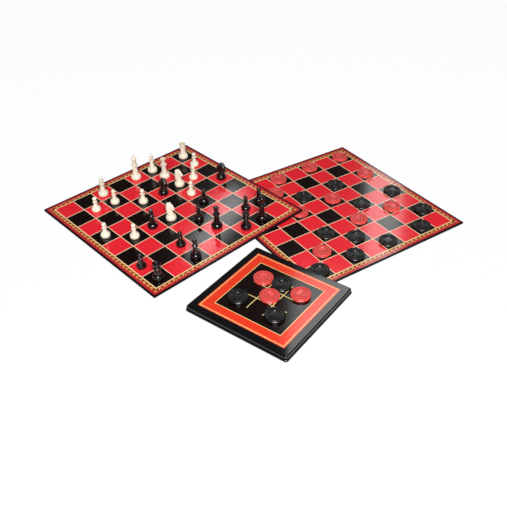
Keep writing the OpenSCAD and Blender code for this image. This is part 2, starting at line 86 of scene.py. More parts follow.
# The lowest part of a solid, which its axis is measured at
FOOT_H = 3


def joint(name):
    return next(j for j in frame["joints"] if j["name"] == name)


def placed(x_axis, z_axis, origin):
    """Matrix from millimetres about a piece's own centre to metres in the shared frame."""
    x_axis = Vector(x_axis).normalized()
    z_axis = Vector(z_axis).normalized()
    turn = Matrix((x_axis, z_axis.cross(x_axis), z_axis)).transposed().to_4x4()
    return Matrix.Translation(origin) @ turn @ Matrix.Scale(MM, 4)


def board_place(fold, lift):
    """A board's frame, from the hinge on its top surface and the slide square to it."""
    z_axis = Vector(joint(lift)["axis"]).normalized()
    hinge = Vector(joint(fold)["pos_m"])
    return placed(joint(fold)["axis"], z_axis, hinge - z_axis * (BOARD_T + CREASE) * MM)


def case_place():
    """The case's frame, from the middle of its base on the floor."""
    low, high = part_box("case_base")
    centre = (low + high) / 2
    return placed((math.cos(CASE_YAW), math.sin(CASE_YAW), 0), (0, 0, 1), (centre.x, centre.y, 0))


BOARDS = {
    "draughts": board_place("draughts_fold", "draughts_men_lift"),
    "chess": board_place("chess_fold", "chess_men_lift"),
}
CASE = case_place()


def islands(mesh):
    """The vertices of each separate solid of a bmesh."""
    seen, found = set(), []
    for start in mesh.verts:
        if start in seen:
            continue
        seen.add(start)
        island = [start]
        for vert in island:
            for edge in vert.link_edges:
                other = edge.other_vert(vert)
                if other not in seen:
                    seen.add(other)
                    island.append(other)
        found.append(island)
    return found


def solid_centres(node, place, rest_z):
    """The axis of each solid of a CAD node, as x and y in that place's millimetres, taken at its foot."""
    mesh = bmesh.new()
    mesh.from_mesh(bpy.data.objects[node].data)
    bmesh.ops.remove_doubles(mesh, verts=mesh.verts, dist=TINY)
    inverse, centres = place.inverted(), []
    for island in islands(mesh):
        local = [inverse @ v.co for v in island]
        foot = [v for v in local if v.z < rest_z + FOOT_H]
        xs, ys = [v.x for v in foot], [v.y for v in foot]
        centres.append(((min(xs) + max(xs)) / 2, (min(ys) + max(ys)) / 2))
    mesh.free()
    return centres


# Materials

# The Mix node's sockets for colours
MIX_A = 6
MIX_B = 7
MIX_RESULT = 2

# The wave texture repeats after this length at a scale of one
WAVE_LENGTH = 0.31

# Painted shade in a crease loses more of its green and blue than of its red
CREASE_SHADE_TINT = (1, 0.85, 0.65)


def shader(name, **values):
    """A Principled material; returns it with its node tree and shader."""
    material = bpy.data.materials.new(name)
    material.use_nodes = True
    tree = material.node_tree
    principled = tree.nodes["Principled BSDF"]
    for socket, value in values.items():
        principled.inputs[socket.replace("_", " ")].default_value = value
    return material, tree, principled


def rgba(colour):
    return (*colour, 1)


def darker(colour, share):
    return [c * share for c in colour]


def noise(tree, scale, detail=3, roughness=0.5, stretch=(1, 1, 1)):
    """Noise in the piece's own millimetres, where scale is the size of one feature."""
    coordinates = tree.nodes.new("ShaderNodeTexCoord")
    mapping = tree.nodes.new("ShaderNodeMapping")
    mapping.inputs["Scale"].default_value = [s / (scale * MM) for s in stretch]
    texture = tree.nodes.new("ShaderNodeTexNoise")
    texture.inputs["Scale"].default_value = 1
    texture.inputs["Detail"].default_value = detail
    texture.inputs["Roughness"].default_value = roughness
    tree.links.new(coordinates.outputs["Object"], mapping.inputs["Vector"])
    tree.links.new(mapping.outputs["Vector"], texture.inputs["Vector"])
    return texture.outputs["Fac"]


def between(tree, factor, low, high, start=0.3, end=0.7):
    """A number that runs from low to high as factor runs from start to end."""
    node = tree.nodes.new("ShaderNodeMapRange")
    node.inputs["From Min"].default_value = start
    node.inputs["From Max"].default_value = end
    node.inputs["To Min"].default_value = low
    node.inputs["To Max"].default_value = high
    tree.links.new(factor, node.inputs["Value"])
    return node.outputs["Result"]


def blend_colours(tree, factor, first, second, start=0.3, end=0.7):
    """A colour that runs from first to second as factor runs from start to end."""
    ramp = tree.nodes.new("ShaderNodeValToRGB")
    ramp.color_ramp.elements[0].position = start
    ramp.color_ramp.elements[0].color = rgba(first)
    ramp.color_ramp.elements[1].position = end
    ramp.color_ramp.elements[1].color = rgba(second)
    tree.links.new(factor, ramp.inputs["Fac"])
    return ramp.outputs["Color"]


def bump(tree, principled, height, depth):
    """Relief of the given depth in millimetres, added to any relief that is there."""
    node = tree.nodes.new("ShaderNodeBump")
    node.inputs["Distance"].default_value = depth * MM
    node.inputs["Strength"].default_value = 1
    normal = principled.inputs["Normal"]
    if normal.is_linked:
        tree.links.new(normal.links[0].from_socket, node.inputs["Normal"])
    tree.links.new(height, node.inputs["Height"])
    tree.links.new(node.outputs["Normal"], normal)


def painted_crease_shade(tree, surface, crease_shade, reach):
    """A colour with painted shade, which deepens to a shade colour in the hollows that are narrower than
    reach millimetres.
    """
    # Painted shade: ambient occlusion finds the hollows, and the colour is darkened there
    hollow = tree.nodes.new("ShaderNodeAmbientOcclusion")
    hollow.inputs["Distance"].default_value = reach * MM
    mix = tree.nodes.new("ShaderNodeMix")
    mix.data_type = "RGBA"
    openness = between(tree, hollow.outputs["AO"], low=0, high=1, start=0.45, end=0.9)
    tree.links.new(openness, mix.inputs["Factor"])
    mix.inputs[MIX_A].default_value = rgba(crease_shade)
    tree.links.new(surface, mix.inputs[MIX_B])
    return mix.outputs[MIX_RESULT]


def varied(name, colour, shade, patch, roughness, grain, depth, **values):
    """A surface whose colour and gloss wander from patch to patch, over a fine grain."""
    material, tree, principled = shader(name, **values)
    patches = blend_colours(tree, noise(tree, patch), darker(colour, shade), colour)
    tree.links.new(patches, principled.inputs["Base Color"])
    smudges = noise(tree, scale=patch / 3)
    tree.links.new(between(tree, smudges, *roughness), principled.inputs["Roughness"])
    bump(tree, principled, noise(tree, grain), depth)
    return material


def laminate(name, colour):
    """Printed paper under a clear film: fine ink grain, soft waves in the film, smudged gloss."""
    material, tree, principled = shader(name, Coat_Weight=0.8, Coat_Roughness=0.11, Specular_IOR_Level=0.02)
    grain = noise(tree, scale=0.5, detail=2)
    ink = blend_colours(tree, grain, darker(colour, share=0.86), colour, start=0.35, end=0.6)
    tree.links.new(ink, principled.inputs["Base Color"])
    smudges = noise(tree, scale=45, detail=5)
    tree.links.new(between(tree, smudges, low=0.2, high=0.34), principled.inputs["Roughness"])
    bump(tree, principled, noise(tree, scale=9, detail=2), depth=0.01)
    bump(tree, principled, noise(tree, scale=0.4, detail=1), depth=0.002)
    return material


def moulded(name, colour, roughness, crease_shade=0.4, reach=1.6, **values):
    """Moulded plastic: flow marks in the colour, painted shade that darkens it to a share of itself in the
    creases, and a faint skin texture.
    """
    material, tree, principled = shader(name, Subsurface_Scale=2 * MM, Coat_Roughness=0.08, **values)
    marks = noise(tree, scale=14, detail=4, stretch=(1, 1, 0.4))
    flow = blend_colours(tree, marks, darker(colour, share=0.86), colour)
    # Painted shade: the colour that the creases are darkened to
    deep = [c * share for c, share in zip(colour, darker(CREASE_SHADE_TINT, crease_shade))]
    tree.links.new(painted_crease_shade(tree, flow, deep, reach), principled.inputs["Base Color"])
    smudges = noise(tree, scale=5, detail=4)
    tree.links.new(between(tree, smudges, *roughness), principled.inputs["Roughness"])
    bump(tree, principled, noise(tree, scale=0.35, detail=2), depth=0.006)
    return material


def woven(name, colour, thread):
    """Cloth of crossed threads that lie thread millimetres apart."""
    material, tree, principled = shader(name, Roughness=0.85, Specular_IOR_Level=0.2)
    coordinates = tree.nodes.new("ShaderNodeTexCoord")
    weave = tree.nodes.new("ShaderNodeMath")
    weave.operation = "MAXIMUM"
    for direction, socket in zip("XY", weave.inputs):
        wave = tree.nodes.new("ShaderNodeTexWave")
        wave.bands_direction = direction
        wave.inputs["Scale"].default_value = WAVE_LENGTH / (thread * MM)
        wave.inputs["Distortion"].default_value = 0.6
        tree.links.new(coordinates.outputs["Object"], wave.inputs["Vector"])
        tree.links.new(wave.outputs["Fac"], socket)
    height = weave.outputs[0]
    cloth = blend_colours(tree, height, darker(colour, share=0.5), colour, start=0.2, end=0.9)
    tree.links.new(cloth, principled.inputs["Base Color"])
    bump(tree, principled, height, depth=thread * 0.2)
    return material


def fibrous(name, colour, fleck, fibre, depth, sheen=0.0):
    """Felt or pressed paper board: short fibres of a second colour in a soft ground."""
    material, tree, principled = shader(name, Roughness=0.9, Specular_IOR_Level=0.2, Sheen_Weight=sheen)
    strands = noise(tree, fibre, detail=6, roughness=0.7, stretch=(1, 0.35, 1))
    ground = blend_colours(tree, strands, fleck, colour, start=0.35, end=0.55)
    tree.links.new(ground, principled.inputs["Base Color"])
    bump(tree, principled, strands, depth)
    return material


RED = laminate("red_print", (0.88, 0.022, 0.036))
BLACK = laminate("black_print", (0.006, 0.0018, 0.0014))
GOLD = laminate("gold_print", (0.98, 0.66, 0.44))
YELLOW = laminate("yellow_print", (0.98, 0.74, 0.28))
DEEP_GOLD = laminate("deep_gold_print", (0.98, 0.46, 0.14))
MAROON = laminate("maroon_print", (0.36, 0.022, 0.014))
ROSE = laminate("rose_print", (0.6, 0.024, 0.04))
ORANGE = laminate("orange_print", (0.85, 0.045, 0.015))
PAPER = varied("black_wrapping_paper", (0.008, 0.005, 0.005), shade=0.6, patch=12, roughness=(0.4, 0.6),
               grain=0.3, depth=0.012, Specular_IOR_Level=0.15)
GREYBOARD = fibrous("greyboard", (0.4, 0.36, 0.3), fleck=(0.2, 0.18, 0.15), fibre=1.2, depth=0.03)
TAPE = woven("hinge_tape", (0.02, 0.017, 0.017), thread=0.45)
# The ivory, black, coral and charcoal plastics get painted shade in their creases, to the share and reach
# given
IVORY = moulded("ivory_plastic", (0.94, 0.86, 0.7), roughness=(0.18, 0.3), crease_shade=0.45, reach=2.4,
                Coat_Weight=0.3, Subsurface_Weight=0.05)
EBONY = moulded("black_plastic", (0.005, 0.004, 0.004), roughness=(0.14, 0.22), Coat_Weight=0.5)
CORAL = moulded("coral_plastic", (0.88, 0.085, 0.08), roughness=(0.26, 0.4), crease_shade=0.3, reach=2,
                Coat_Weight=0.3, Subsurface_Weight=0.03)
CHARCOAL = moulded("charcoal_plastic", (0.011, 0.012, 0.012), roughness=(0.24, 0.34), crease_shade=0.2, reach=2,
                   Coat_Weight=0.2)
LACQUER = varied("black_lacquer", (0.004, 0.004, 0.005), shade=0.8, patch=60, roughness=(0.3, 0.4),
                 grain=9, depth=0.012, Coat_Weight=0.9, Coat_Roughness=0.06, Specular_IOR_Level=0.03)
FELT = fibrous("green_felt", (0.012, 0.07, 0.035), fleck=(0.02, 0.11, 0.06), fibre=0.8, depth=0.15,
               sheen=0.4)
RUBBER = varied("foot_rubber", (0.02, 0.02, 0.02), shade=0.7, patch=4, roughness=(0.6, 0.8),
                grain=0.4, depth=0.02)


# Meshes

HARD_EDGE = math.radians(35)
DISC_POINTS = 10


def linked(name, data):
    """A new object in the scene."""
    piece = bpy.data.objects.new(name, data)
    bpy.context.collection.objects.link(piece)
    return piece


def clean_up(mesh, smooth):
    """Faces turned outwards, and where asked smooth shading that breaks at hard edges."""
    work = bmesh.new()
    work.from_mesh(mesh)
    bmesh.ops.recalc_face_normals(work, faces=work.faces)
    if smooth:
        for face in work.faces:
            face.smooth = True
        for edge in work.edges:
            edge.smooth = len(edge.link_faces) == 2 and edge.calc_face_angle() < HARD_EDGE
    work.to_mesh(mesh)
    work.free()


def make(name, shape, place, body, materials, replaces=(), smooth=False):
    """A piece from a shape in a place's millimetres, riding on a body."""
    mesh = bpy.data.meshes.new(name)
    mesh.from_pydata([place @ v for v in shape.vertices], [], shape.faces)
    for material in materials:
        mesh.materials.append(material)
    mesh.polygons.foreach_set("material_index", shape.slots)
    mesh.update()
    clean_up(mesh, smooth)
    piece = linked(name, mesh)
    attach(piece, body)
    if replaces:
        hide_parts(*replaces)


class Shape:
    """Vertices and faces gathered from several forms, with a material slot for each face."""

    def __init__(self):
        self.vertices, self.faces, self.slots = [], [], []

    def add(self, vertices, faces, slots=None, at=(0, 0, 0), turn=0.0):
        """Takes in a form, turned about Z and then moved; without slots, all of it has the first."""
        base = len(self.vertices)
        move = Matrix.Translation(at) @ Matrix.Rotation(turn, 4, "Z")
        self.vertices += [move @ Vector(v) for v in vertices]
        self.faces += [[base + k for k in face] for face in faces]
        self.slots += slots or [0] * len(faces)

    def merge(self, other, at=(0, 0, 0), turn=0.0):
        """Takes in another shape with its slots."""
        self.add(other.vertices, other.faces, other.slots, at, turn)


def angles(n):
    return [2 * math.pi * k / n for k in range(n)]


def polar(radius, angle, x=0, y=0):
    """The point at a radius and an angle from (x, y)."""
    return x + radius * math.cos(angle), y + radius * math.sin(angle)


def disc(x, y, radius):
    """A small round outline."""
    return [polar(radius, angle, x, y) for angle in angles(DISC_POINTS)]


def spun(profile, segments, detail=None):
    """Faces of a profile of [radius, height] spun round Z; detail(r, z, k) may move its points."""
    vertices, faces = [], []
    for k, angle in enumerate(angles(segments)):
        for r, z in profile:
            reach, level = detail(r, z, k) if detail else (r, z)
            vertices.append((*polar(reach, angle), level))
    rows = len(profile)
    for k in range(segments):
        near, far = k * rows, (k + 1) % segments * rows
        faces += [(near + i, far + i, far + i + 1, near + i + 1) for i in range(rows - 1)]
    faces.append([k * rows for k in range(segments)][::-1])
    faces.append([k * rows + rows - 1 for k in range(segments)])
    return vertices, faces


def plate(outline, z0, z1):
    """A flat plate over an outline of [x, y] points."""
    n = len(outline)
    vertices = [(x, y, z0) for x, y in outline] + [(x, y, z1) for x, y in outline]
    sides = [(k, (k + 1) % n, n + (k + 1) % n, n + k) for k in range(n)]
    return vertices, [list(range(n))[::-1], list(range(n, 2 * n))] + sides


def sheet_of(xs, ys, zone, top, thickness, sag=None):
    """A closed printed sheet cut along xs and ys, where zone(x, y) gives each field's material slot."""
    shape = Shape()
    nx, ny = len(xs), len(ys)
    for z in (top - thickness, top):
        for x in xs:
            for y in ys:
                shape.vertices.append(Vector((x, y, z - (sag(x, y) if sag and z == top else 0))))

    def at(i, j, layer):
        return layer * nx * ny + i * ny + j

    for i in range(nx - 1):
        for j in range(ny - 1):
            slot = zone((xs[i] + xs[i + 1]) / 2, (ys[j] + ys[j + 1]) / 2)
            shape.faces.append([at(i, j, 1), at(i + 1, j, 1), at(i + 1, j + 1, 1), at(i, j + 1, 1)])
            shape.faces.append([at(i, j, 0), at(i, j + 1, 0), at(i + 1, j + 1, 0), at(i + 1, j, 0)])
            shape.slots += [slot, slot]
    for i in range(nx - 1):
        for j in (0, ny - 1):
            shape.faces.append([at(i, j, 0), at(i + 1, j, 0), at(i + 1, j, 1), at(i, j, 1)])
            shape.slots.append(zone((xs[i] + xs[i + 1]) / 2, ys[j]))
    for j in range(ny - 1):
        for i in (0, nx - 1):
            shape.faces.append([at(i, j, 0), at(i, j + 1, 0), at(i, j + 1, 1), at(i, j, 1)])
            shape.slots.append(zone(xs[i], (ys[j] + ys[j + 1]) / 2))
    return shape


# Board prints: the squares with gold lines between them, and a border of bands

ORNAMENT_START = 2.3
ORNAMENT_END = 7.7
ORNAMENT_STEP = SQUARE / 4
INK_T = 0.02
PRINT_MATERIALS = [RED, BLACK, GOLD, YELLOW, MAROON, ROSE]
LINE_SLOT = PRINT_MATERIALS.index(GOLD)

# Each band's end, counted from the edge of the squares, and its material
BANDS = [(1.4, YELLOW), (ORNAMENT_START, BLACK), (ORNAMENT_END, MAROON), (8, BLACK),
         (MARGIN - 1.2, ROSE), (MARGIN, BLACK)]

# Cuts through the print are rounded to so many digits, and no two are nearer than the gap
CUT_DIGITS = 3
CUT_GAP = 0.01

# How deep the print dips into a fold, and how far from the fold it starts to
FOLD_DIP = 0.12
FOLD_REACH = 0.8

# A leaf is as wide along its length as a power of a sine, over part of the sine's half turn
LEAF_POINTS = 8
LEAF_START = 0.08
LEAF_TURN = 0.88
LEAF_POWER = 0.8

# How far from the middle of a rosette its petals start and its small berries lie
PETAL_START = 0.7
BERRY_OUT = 2.4


def board_zone(x, y):
    """Slot of a point of the print."""
    out = max(abs(x), abs(y)) - GRID_HALF
    if out > 0:
        return PRINT_MATERIALS.index(next(material for end, material in BANDS if out < end + TINY))
    for value in (x, y):
        if abs(value - round(value / SQUARE) * SQUARE) < LINE_W / 2:
            return LINE_SLOT
    return (math.floor(x / SQUARE) + math.floor(y / SQUARE)) % 2


def board_cuts(low, high):
    """Where a print is cut along one direction between low and high."""
    lines = range(-SQUARES_HALF, SQUARES_HALF + 1)
    cuts = [k * SQUARE + side * LINE_W / 2 for k in lines for side in (-1, 1)]
    cuts += [side * (GRID_HALF + end) for end in [0] + [end for end, _ in BANDS] for side in (-1, 1)]
    cuts += [side * reach for reach in (0, FOLD_REACH) for side in (-1, 1)]
    inside = sorted({round(c, CUT_DIGITS) for c in cuts if low < c < high} | {low, high})
    return [c for k, c in enumerate(inside) if k == 0 or c - inside[k - 1] > CUT_GAP]


def fold_sag(x, y):
    """The print dips into each fold."""
    near = min(abs(x), abs(y))
    return FOLD_DIP * max(0, 1 - near / FOLD_REACH)


def curled_leaf(length, width, start, heading, bend):
    """A leaf whose middle line sets out from start at a heading and turns by bend on its way."""
    left, right = [], []
    x, y = start
    for k in range(LEAF_POINTS + 1):
        share = k / LEAF_POINTS
        angle = heading + bend * share
        half = width / 2 * math.sin(math.pi * (LEAF_START + LEAF_TURN * share)) ** LEAF_POWER
        left.append((x - half * math.sin(angle), y + half * math.cos(angle)))
        right.append((x + half * math.sin(angle), y - half * math.cos(angle)))
        x, y = polar(length / LEAF_POINTS, angle, x, y)
    return left + right[::-1]


def inked(outlines):
    """A motif in raised ink."""
    motif = Shape()
    for outline in outlines:
        motif.add(*plate(outline, 0, INK_T))
    return motif


def ornament():
    """One repeat of the gold scroll, along +x about the origin: a curled leaf, a side leaf and a berry."""
    return inked([
        curled_leaf(length=8, width=2.3, start=(-3.6, -2.1), heading=1.25, bend=-1.5),
        curled_leaf(length=3.8, width=1.7, start=(0.2, -2.2), heading=0.1, bend=1),
        disc(-0.5, -0.8, radius=0.7),
    ])


def rosette():
    """Four petals and four small berries round a berry, for the corners of the border."""
    outlines = [disc(0, 0, radius=0.5)]
    for angle in angles(4):
        start = polar(PETAL_START, angle)
        outlines.append(curled_leaf(length=2.1, width=1.7, start=start, heading=angle, bend=0))
        outlines.append(disc(*polar(BERRY_OUT, angle + math.pi / 4), radius=0.4))
    return inked(outlines)


def border_ornament(low, high):
    """The motifs of the border whose centres have a y between low and high."""
    motif, corner, band = ornament(), rosette(), Shape()
    across = GRID_HALF + (ORNAMENT_START + ORNAMENT_END) / 2
    repeats = round(2 * GRID_HALF / ORNAMENT_STEP)
    for angle in angles(4):
        turn = Matrix.Rotation(angle, 4, "Z")
        for k in range(repeats):
            centre = turn @ Vector((-GRID_HALF + ORNAMENT_STEP * (k + 0.5), -across, BOARD_T))
            if low < centre.y < high:
                band.merge(motif, centre, angle)
        centre = turn @ Vector((-across, -across, BOARD_T))
        if low < centre.y < high:
            band.merge(corner, centre)
    return band


def dress_half(board, half, body, quarters, spans, low, high):
    """Half a board's print and gold scroll: spans lie along the fold, and low to high is across it."""
    shape = Shape()
    across = board_cuts(low, high)
    for span in spans:
        shape.merge(sheet_of(board_cuts(*span), across, board_zone, BOARD_T, PRINT_T, fold_sag))
    replaced = [f"{board}_print_{quarter}" for quarter in quarters] + [f"{board}_squares_{half}"]
    place = BOARDS[board]
    make(f"{board}_print_{half}_dressed", shape, place, body, PRINT_MATERIALS, replaced)
    make(f"{board}_border_{half}", border_ornament(low, high), place, body, [DEEP_GOLD])


for board in BOARDS:
    dress_half(board, "fixed", board + "_board", ("left", "near"), [(-PRINT_HALF, PRINT_HALF)],
               -PRINT_HALF, -CREASE)
    dress_half(board, "flap", board + "_flap", ("far", "right"),
               [(-PRINT_HALF, -SLIT_HALF), (SLIT_HALF, PRINT_HALF)], CREASE, PRINT_HALF)


# Draughts: a crown in a dish, two grooves round it, and a reeded edge

FACE_DROP = 0.1
DISH_R = 6.5
DISH_DEPTH = 0.8
GROOVES = [(8.2, 9.6), (12.2, 13.7)]
GROOVE_DEPTH = 1.0
GROOVE_SLOPE = 0.35
LIP_W = 0.2
LIP_DROP = 0.12
REEDS = 72
REED_DEPTH = 0.16
REEDED_FROM = DRAUGHT_R - 0.05
CROWN_SUNK = 0.1
CROWN_DROP = 0.15
BEAD_R = 0.62
BEAD_RISE = 0.3
BEAD_PROUD = 0.06

# Each draught is turned by this much more than the one before
NEXT_TURN = 2.4

# The dish's lip as steps out from it and down from the face
DISH_LIP = [(0.4, 0.1), (0.6, 0)]

# The rounded rim as steps in from the edge and down from the top, and the waist as steps in and up
RIM = [(1.7, 0), (1.1, 0), (0.5, 0.15), (0.15, 0.5), (0, 1)]
WAIST = [(0, 0.9), (0.3, 0.6), (0.7, 0.3), (0.7, 0)]

# The right half of a plain five-pointed crown, from its middle tip; every other point is a tip
CROWN_HALF = [(0, 4.4), (0.9, 0.3), (2.3, 3.5), (2.9, 0), (5.3, 2.4), (4.3, -3)]
CROWN_TIPS = CROWN_HALF[::2]


def groove(inner, outer, top):
    """A flat-bottomed groove with sloping sides, from its inside to its outside."""
    return [(inner - LIP_W, top), (inner, top - LIP_DROP), (inner + GROOVE_SLOPE, top - GROOVE_DEPTH),
            (outer - GROOVE_SLOPE, top - GROOVE_DEPTH), (outer, top - LIP_DROP), (outer + LIP_W, top)]


def draught_profile():
    """Half profile of a draught, from the middle of its underside round to the middle of its face."""
    dish = DRAUGHT_T - DISH_DEPTH
    level = DRAUGHT_T - FACE_DROP
    middle = DRAUGHT_T / 2
    upper = [(0, dish), (DISH_R, dish)] + [(DISH_R + step, level - down) for step, down in DISH_LIP]
    for inner, outer in GROOVES:
        upper += groove(inner, outer, level)
    upper += [(DRAUGHT_R - step, DRAUGHT_T - down) for step, down in RIM]
    upper += [(DRAUGHT_R - step, middle + up) for step, up in WAIST]
    lower = [(r, DRAUGHT_T - z) for r, z in upper[-2::-1]]
    return (upper + lower)[::-1]


def mirrored(half):
    """Points that start on x = 0, and then their mirror images on the way back."""
    return half + [(-x, y) for x, y in half[:0:-1]]


def reeding(r, z, k):
    """Fine reeds round a draught's edge."""
    return (r - REED_DEPTH if r > REEDED_FROM and k % 2 else r), z


def draught_shape():
    """A draught that has a crown in low relief, with a bead on each tip, on both faces."""
    shape = Shape()
    shape.add(*spun(draught_profile(), 2 * REEDS, reeding))
    low, high = DRAUGHT_T - DISH_DEPTH - CROWN_SUNK, DRAUGHT_T - CROWN_DROP
    for z0, z1 in ((low, high), (DRAUGHT_T - high, DRAUGHT_T - low)):
        shape.add(*plate(mirrored(CROWN_HALF), z0, z1))
        for x, y in mirrored(CROWN_TIPS):
            shape.add(*plate(disc(x, y + BEAD_RISE, BEAD_R), z0 - BEAD_PROUD, z1 + BEAD_PROUD))
    return shape


def dress_draughts(node, place, rest_z, body, material):
    """Draughts in the places of a node's solids."""
    one, several = draught_shape(), Shape()
    for k, (x, y) in enumerate(solid_centres(node, place, rest_z)):
        several.merge(one, (x, y, rest_z), NEXT_TURN * k)
    make(node + "_dressed", several, place, body, [material], [node], smooth=True)


for kind, place, rest_z, body in (("draughts", BOARDS["draughts"], BOARD_T, "draughts_men"),
                                  ("counters", CASE, CASE_TOP, "counters")):
    dress_draughts("red_" + kind, place, rest_z, body, CORAL)
    dress_draughts("black_" + kind, place, rest_z, body, CHARCOAL)


# Knights: a horse's head of overlapping balls that are melted into one skin

VOXEL = 0.4
SMOOTHING = 3
STAND_GAP = 0.01
BALL_GAP = 0.9
BALL_RINGS = 8
BUTTON_R = 0.8
FOOT_SEGMENTS = 48

# A spun form's poles have a small radius, so that it is closed
POLE_R = 0.01

# The foot's steps below and above its widest level
LOW_STEPS = 3
HIGH_STEPS = 8

# The foot's sole, the height of its widest level and its waist, as shares of its radius
SOLE = 0.93
BELLY = 0.3
WAIST_SHARE = 0.68

# Paths of (x, y, z, radius) through a knight that faces +x
NECK = [(0.2, 0, 9, 6.2), (-0.8, 0, 12, 6), (-1.6, 0, 16, 5.9), (-1.9, 0, 21, 5.6), (-1.4, 0, 26, 5),
        (-0.4, 0, 29.6, 4.2)]
FACE = [(-0.4, 0, 29.4, 4.2), (2.6, 0, 27.4, 3.9), (5.2, 0, 24.6, 3), (6.6, 0, 22.6, 2.4)]
JAW = [(1.4, 0, 25, 4), (3.6, 0, 22.8, 2.8), (5.6, 0, 21.2, 1.7)]
CREST = [(2.4, 0, 31.6, 1.3), (-0.6, 0, 33.2, 2), (-3.6, 0, 32, 2.4), (-5.7, 0, 28.4, 2.5),
         (-6.5, 0, 23.5, 2.5), (-6.5, 0, 18, 2.4), (-5.9, 0, 12.8, 2)]

# What is on its left side, which is mirrored for its right
EAR = [(-0.1, 1.9, 32.4, 1.3), (0.1, 2.1, 33.9, 0.9), (0.3, 2.2, 34.8, 0.5)]
BROW = [(2.8, 2.6, 29.6, 0.9), (4.5, 2.2, 28, 0.7)]
EYE = (3.3, 3.1, 27.6)
NOSTRIL = (7.5, 1.5, 23.4)

# The mane: locks that hang from the back of the neck, and the back's bulge between poll and shoulder
LOCKS = 6
LOCK_TOP = 32.6
LOCK_STEP = 3.6
LOCK = [(0, 1.6, 0, 1.2), (2, 3.6, -2.2, 1.1), (2.6, 4.3, -4.4, 0.6)]
BACK_X = -4
BACK_BULGE = 2.6
BACK_TOP = 36
BACK_H = 26
BACK_TURN = 0.75


def ball(shape, at, radius, flat=1.0):
    """A closed ball, made narrower sideways by flat."""
    half = [(radius * math.sin(math.pi * k / BALL_RINGS), -radius * math.cos(math.pi * k / BALL_RINGS))
            for k in range(BALL_RINGS + 1)]
    half[0], half[-1] = (POLE_R, -radius), (POLE_R, radius)
    vertices, faces = spun(half, 2 * BALL_RINGS)
    shape.add([(x, y * flat, z) for x, y, z in vertices], faces, at=at)


def limb(shape, path, flat=1.0):
    """Balls strung along a path of (x, y, z, radius)."""
    for near, far in zip(path, path[1:]):
        steps = max(1, math.ceil(math.dist(near[:3], far[:3]) / BALL_GAP))
        for k in range(steps + 1):
            x, y, z, radius = [a + (b - a) * k / steps for a, b in zip(near, far)]
            ball(shape, (x, y, z), radius, flat)


def knight_foot():
    """The flattened ball under the other men too, as a profile closed over its waist."""
    r, inner = KNIGHT_FOOT_R, WAIST_SHARE * KNIGHT_FOOT_R
    low, high = [], []
    for k in range(LOW_STEPS + 1):
        angle = math.pi / 2 * k / LOW_STEPS
        low.append((r * (SOLE + (1 - SOLE) * math.sin(angle)), r * BELLY * k / LOW_STEPS))
    for k in range(1, HIGH_STEPS + 1):
        angle = math.pi / 2 * k / HIGH_STEPS
        high.append((inner + (r - inner) * math.cos(angle),
                     r * (BELLY + (FOOT_SHARE - BELLY) * math.sin(angle))))
    return [(POLE_R, 0)] + low + high + [(POLE_R, high[-1][1])]


def on_side(path, side):
    """A path for one side of the head."""
    return [(x, side * y, z, radius) for x, y, z, radius in path]


def lock(z):
    """The path of the lock of the mane that hangs from a height."""
    turn = math.pi * min(1, (BACK_TOP - z) / BACK_H) * BACK_TURN
    back = BACK_X - BACK_BULGE * math.sin(turn)
    return [(back + x, y, z + down, radius) for x, y, down, radius in LOCK]


def knight_shape():
    """A knight that faces +x."""
    shape = Shape()
    shape.add(*spun(knight_foot(), FOOT_SEGMENTS))
    limb(shape, NECK, flat=0.8)
    limb(shape, FACE, flat=0.78)
    limb(shape, JAW, flat=0.82)
    limb(shape, CREST, flat=0.85)
    for side in (-1, 1):
        limb(shape, on_side(EAR, side))
        limb(shape, on_side(BROW, side))
        for x, y, z in (EYE, NOSTRIL):
            ball(shape, (x, side * y, z), BUTTON_R)
        for k in range(LOCKS):
            limb(shape, on_side(lock(LOCK_TOP - LOCK_STEP * k), side))
    return shape


def melted(shape):
    """The skin of a shape of overlapping closed forms, as a smooth shape that stands on z = 0."""
    mesh = bpy.data.meshes.new("melted")
    mesh.from_pydata(shape.vertices, [], shape.faces)
    mesh.update()
    clean_up(mesh, smooth=False)
    piece = linked("melted", mesh)
    skin = piece.modifiers.new("skin", "REMESH")
    skin.mode = "VOXEL"
    skin.voxel_size = VOXEL
    soften = piece.modifiers.new("soften", "SMOOTH")
    soften.factor = 0.5
    soften.iterations = SMOOTHING
    graph = bpy.context.evaluated_depsgraph_get()
    result = bpy.data.meshes.new_from_object(piece.evaluated_get(graph))
    bpy.data.objects.remove(piece)
    lowest = min(v.co.z for v in result.vertices)
    standing = Shape()
    standing.add([v.co for v in result.vertices], [list(p.vertices) for p in result.polygons],
                 at=(0, 0, -lowest))
    return standing


def dress_knights(node, knight, turn, material):
    """Knights in the places of a node's solids."""
    pair = Shape()
    for x, y in solid_centres(node, BOARDS["chess"], BOARD_T):
        pair.merge(knight, (x, y, BOARD_T + STAND_GAP), turn)
    make(node + "_dressed", pair, BOARDS["chess"], "chess_men", [material], [node], smooth=True)


knight = melted(knight_shape())
dress_knights("ivory_knights", knight, IVORY_KNIGHT_TURN, IVORY)
dress_knights("black_knights", knight, BLACK_KNIGHT_TURN, EBONY)


# Case inlay: an orange band with gold trim lines round a black field with four crossing lines

INLAY_MATERIALS = [ORANGE, BLACK, YELLOW]
BAND_SLOT, FIELD_SLOT, TRIM_SLOT = range(3)
HASH_REACH = 1.4 * CELL

# Where each trim line starts and ends, counted from the middle
TRIMS = [(FIELD_HALF, FIELD_HALF + 1.1), (INLAY_HALF - 3.4, INLAY_HALF - 2.6),
         (INLAY_HALF - 1.5, INLAY_HALF - 1)]


def inlay_zone(x, y):
    """Slot of a point of the inlay."""
    out = max(abs(x), abs(y))
    if out < FIELD_HALF:
        for value, other in ((x, y), (y, x)):
            if abs(abs(value) - CELL / 2) < HASH_W / 2 and abs(other) < HASH_REACH:
                return TRIM_SLOT
        return FIELD_SLOT
    return TRIM_SLOT if any(start < out < end for start, end in TRIMS) else BAND_SLOT


